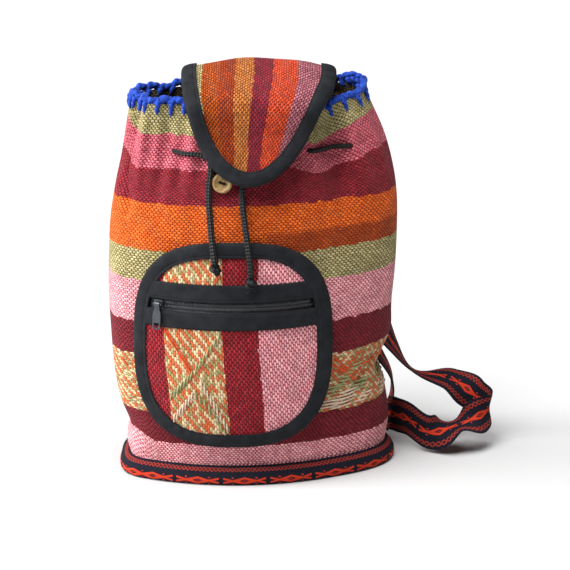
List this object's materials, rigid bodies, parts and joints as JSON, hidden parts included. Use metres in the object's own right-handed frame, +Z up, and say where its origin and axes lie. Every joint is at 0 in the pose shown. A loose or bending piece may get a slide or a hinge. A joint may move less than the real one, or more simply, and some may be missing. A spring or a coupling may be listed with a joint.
{
  "type": "drawstring backpack",
  "caption": "Woven cloth drawstring backpack with a bound flap, a button, a zipped front pocket, a crocheted rim and ribbon shoulder straps.",
  "frame": {"origin": "on the floor, under the middle of the base", "axes": "+Z up, the flap and pocket face -Y, +X is to the right seen from the front"},
  "size_m": [0.3602, 0.2124, 0.3725],
  "materials": {
    "woven_cloth": "weft-faced striped weave",
    "patterned_ribbon": "woven ribbon with a small repeat",
    "black_cloth": "plain twill",
    "blue_yarn": "twisted yarn, crocheted",
    "cord": "round braid",
    "button": "turned and dished",
    "zip_coil": "moulded coil",
    "zip_metal": "dark plated"
  },
  "bodies": {
    "bag": {"body_cloth": "woven_cloth", "base_panel": "woven_cloth", "base_trim": "patterned_ribbon", "rim_crochet": "blue_yarn", "back_seam_tape": "black_cloth", "strap_left": "patterned_ribbon", "strap_right": "patterned_ribbon", "button": "button", "button_thread": "cord", "drawstring": "cord", "drawstring_knot_left": "cord", "drawstring_knot_right": "cord", "pocket_upper_panel": "woven_cloth", "pocket_lower_panel": "woven_cloth", "pocket_binding": "black_cloth", "zip_facing_upper": "black_cloth", "zip_facing_lower": "black_cloth", "zip_tape_upper": "black_cloth", "zip_tape_lower": "black_cloth", "zip_coil_upper": "zip_coil", "zip_coil_lower": "zip_coil", "zip_stop_left": "zip_metal", "zip_stop_right": "zip_metal"},
    "flap": {"flap_panel": "woven_cloth", "flap_binding": "black_cloth", "flap_loop": "cord"},
    "zip_slider": {"zip_slider": "zip_metal"},
    "zip_pull": {"zip_pull": "zip_metal"}
  },
  "joints": [
    {"name": "flap_hinge", "type": "hinge", "parent": "bag", "child": "flap", "pos_m": [0.005, 0.055, 0.3333], "axis": [-1, 0, 0], "range_deg": [0, 120]},
    {"name": "zip_run", "type": "hinge", "parent": "bag", "child": "zip_slider", "pos_m": [-0.018, 0.0581, 0.172], "axis": [0, 0, 1], "range_deg": [0, 52.4]},
    {"name": "zip_pull_hinge", "type": "hinge", "parent": "zip_slider", "child": "zip_pull", "pos_m": [-0.08541, -0.07896, 0.17237], "axis": [-0.8973, 0.4413, 0], "range_deg": [0, 150]}
  ]
}
